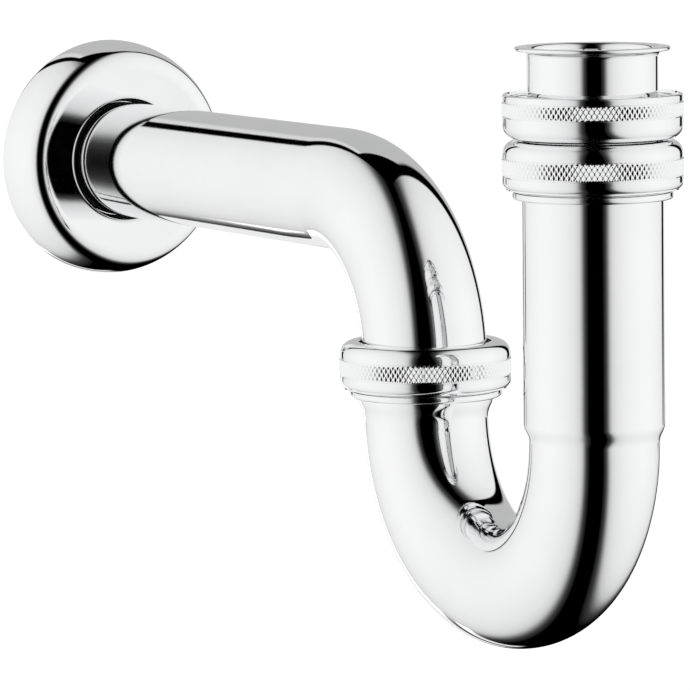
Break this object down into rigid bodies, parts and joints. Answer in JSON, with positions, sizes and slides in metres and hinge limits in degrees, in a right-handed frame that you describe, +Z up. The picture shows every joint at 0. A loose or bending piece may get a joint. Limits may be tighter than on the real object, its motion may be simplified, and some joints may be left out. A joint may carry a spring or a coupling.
{
  "type": "p trap",
  "caption": "Tubular brass P trap: flanged telescopic inlet with union nut, swivelling U bend, wall elbow and rosette, for a 1 1/4 in basin waste.",
  "frame": {"origin": "centre of the outlet tube's wall end, on the tube's axis", "axes": "+X out of the wall along the outlet tube, +Z up along the two vertical joints, +Y across the trap's plane"},
  "size_m": [0.3022, 0.0664, 0.153],
  "materials": {
    "chrome_tube": "polished chrome plate on brass",
    "chrome_nut": "polished chrome plate on brass",
    "chrome_rosette": "polished chrome plate on brass",
    "chrome_socket": "polished chrome plate on brass",
    "seal_rubber": "moulded black rubber",
    "slip_ring_plastic": "natural white nylon"
  },
  "bodies": {
    "elbow": {"outlet_elbow": "chrome_tube"},
    "rosette": {"wall_rosette": "chrome_rosette", "rosette_grip_ring": "seal_rubber"},
    "outlet_nut": {"outlet_compression_nut": "chrome_nut"},
    "outlet_packing": {"outlet_slip_ring": "slip_ring_plastic", "outlet_seal": "seal_rubber"},
    "lower_trap": {"u_bend": "chrome_tube", "outlet_threaded_socket": "chrome_socket", "inlet_threaded_socket": "chrome_socket"},
    "inlet_packing": {"inlet_seal": "seal_rubber", "inlet_slip_ring": "slip_ring_plastic"},
    "inlet_nut": {"inlet_compression_nut": "chrome_nut"},
    "tailpiece": {"inlet_tailpiece": "chrome_tube"},
    "union_nut": {"waste_union_nut": "chrome_nut"}
  },
  "joints": [
    {"name": "rosette_slide", "type": "slide", "parent": "elbow", "child": "rosette", "axis": [1, 0, 0], "range_m": [0, 0.06]},
    {"name": "outlet_nut_turn", "type": "hinge", "parent": "elbow", "child": "outlet_nut", "pos_m": [0.2, 0, -0.0481], "axis": [0, 0, 1], "range_deg": [0, 1080]},
    {"name": "lower_trap_drop", "type": "slide", "parent": "elbow", "child": "outlet_packing", "axis": [0, 0, -1], "range_m": [0, 0.00693]},
    {"name": "lower_trap_swivel", "type": "hinge", "parent": "outlet_packing", "child": "lower_trap", "pos_m": [0.2, 0, -0.054], "axis": [0, 0, 1], "range_deg": [-150, 150]},
    {"name": "inlet_packing_lift", "type": "slide", "parent": "lower_trap", "child": "inlet_packing", "axis": [0, 0, 1], "range_m": [0, 0.00693]},
    {"name": "inlet_nut_turn", "type": "hinge", "parent": "inlet_packing", "child": "inlet_nut", "pos_m": [0.28, 0, 0.0084], "axis": [0, 0, 1], "range_deg": [0, 1080]},
    {"name": "tailpiece_telescope", "type": "slide", "parent": "inlet_packing", "child": "tailpiece", "axis": [0, 0, 1], "range_m": [0, 0.035]},
    {"name": "union_nut_slide", "type": "slide", "parent": "tailpiece", "child": "union_nut", "axis": [0, 0, 1], "range_m": [0, 0.018]}
  ],
  "couplings": [
    {"joint": "outlet_nut_turn", "follows": "lower_trap_drop", "rad_per_m": 2721.2},
    {"joint": "inlet_nut_turn", "follows": "inlet_packing_lift", "rad_per_m": 2721.2}
  ]
}
